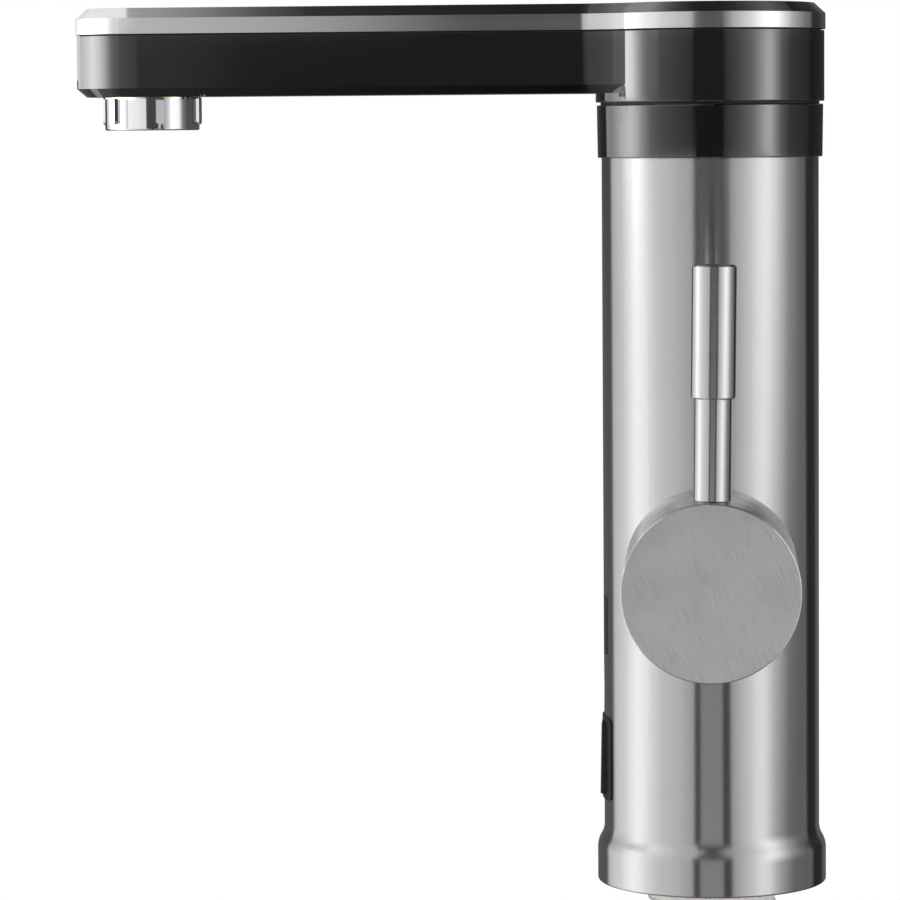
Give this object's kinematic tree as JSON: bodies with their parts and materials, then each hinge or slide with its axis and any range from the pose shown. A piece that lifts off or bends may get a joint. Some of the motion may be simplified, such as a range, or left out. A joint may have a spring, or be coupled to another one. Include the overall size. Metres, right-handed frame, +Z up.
{
  "type": "electric instant water heater tap",
  "caption": "Worktop tap with a heated steel column, a swivel spout, a side lever, a temperature window and a mains switch.",
  "frame": {"origin": "centre of the seat on the worktop, at the underside of the base gasket", "axes": "+Z up along the column, -X towards the spout, the temperature window and the switch, -Y towards the lever knob"},
  "size_m": [0.1974, 0.1038, 0.2879],
  "materials": {
    "column_steel": "stainless tube, brushed round the column",
    "lever_steel": "turned metal, satin polished",
    "knob_steel": "brushed metal",
    "cover_steel": "satin plated cover",
    "spout_black": "black moulding, high gloss",
    "switch_black": "black moulding, fine texture",
    "window_black": "smoked acrylic",
    "chrome": "bright chrome plate",
    "rubber": "moulded rubber",
    "silicone_red": "moulded silicone",
    "hose_silicone": "milky silicone hose",
    "brass": "machined brass",
    "tank_steel": "drawn stainless steel",
    "element_steel": "annealed element sheath",
    "fixing_steel": "stainless fixings",
    "black_nylon": "glass-filled nylon",
    "white_nylon": "natural acetal",
    "grey_nylon": "grey nylon",
    "ceramic": "lapped alumina disc",
    "board_green": "solder-masked board",
    "relay_blue": "moulded relay case"
  },
  "bodies": {
    "column": {"body_shell": "column_steel", "base_plate": "black_nylon", "base_gasket": "rubber", "mounting_stem": "white_nylon", "clamp_washer": "fixing_steel", "lock_nut": "white_nylon", "inlet_shank": "brass", "cable_grommet": "rubber", "flow_switch_body": "white_nylon", "plunger_spring": "fixing_steel", "flow_switch_cap": "white_nylon", "reed_switch": "black_nylon", "inlet_tube": "tank_steel", "valve_body": "brass", "cartridge_seal": "rubber", "fixed_disc": "ceramic", "cartridge_housing": "white_nylon", "bonnet_nut": "brass", "valve_sleeve": "knob_steel", "feed_tube": "tank_steel", "heater_tank": "tank_steel", "tank_spacer": "grey_nylon", "heating_element": "element_steel", "element_bushes": "brass", "thermal_cutout": "black_nylon", "tank_seal": "silicone_red", "tank_lid": "tank_steel", "tank_screws": "fixing_steel", "temperature_sensor": "brass", "riser_tube": "tank_steel", "swivel_bush": "white_nylon", "retaining_screw": "fixing_steel", "collar_ring": "spout_black", "swivel_washer": "black_nylon", "display_window": "window_black", "display_module": "black_nylon", "switch_bezel": "switch_black", "switch_pin": "fixing_steel", "switch_body": "black_nylon", "control_board": "board_green", "power_relay": "relay_blue", "terminal_block": "white_nylon"},
    "spout": {"spout_housing": "spout_black", "spout_cover": "cover_steel", "spout_spigot": "brass", "spigot_o_rings": "rubber", "spigot_screws": "fixing_steel", "spout_tube": "hose_silicone", "outlet_nozzle": "brass", "aerator_gasket": "rubber", "aerator_insert": "white_nylon", "aerator_nut": "chrome"},
    "lever": {"knob": "knob_steel", "knob_screw": "fixing_steel", "lever_rod": "lever_steel", "lever_grip": "lever_steel", "valve_spindle": "brass", "moving_disc": "ceramic"},
    "rocker": {"switch_rocker": "switch_black"},
    "plunger": {"flow_plunger": "black_nylon"}
  },
  "joints": [
    {"name": "spout_swivel", "type": "hinge", "parent": "column", "child": "spout", "pos_m": [0, 0, 0.206], "axis": [0, 0, 1], "continuous": true},
    {"name": "lever_turn", "type": "hinge", "parent": "column", "child": "lever", "pos_m": [0, -0.06, 0.0845], "axis": [0, -1, 0], "range_deg": [-90, 90]},
    {"name": "rocker_tilt", "type": "hinge", "parent": "column", "child": "rocker", "pos_m": [-0.0257, 0, 0.0333], "axis": [0, -1, 0], "range_deg": [0, 5]},
    {"name": "plunger_lift", "type": "slide", "parent": "column", "child": "plunger", "axis": [0, 0, 1], "range_m": [0, 0.005], "stiffness_N_per_m": 40, "springref_m": -0.002, "deforming": ["plunger_spring"]}
  ]
}
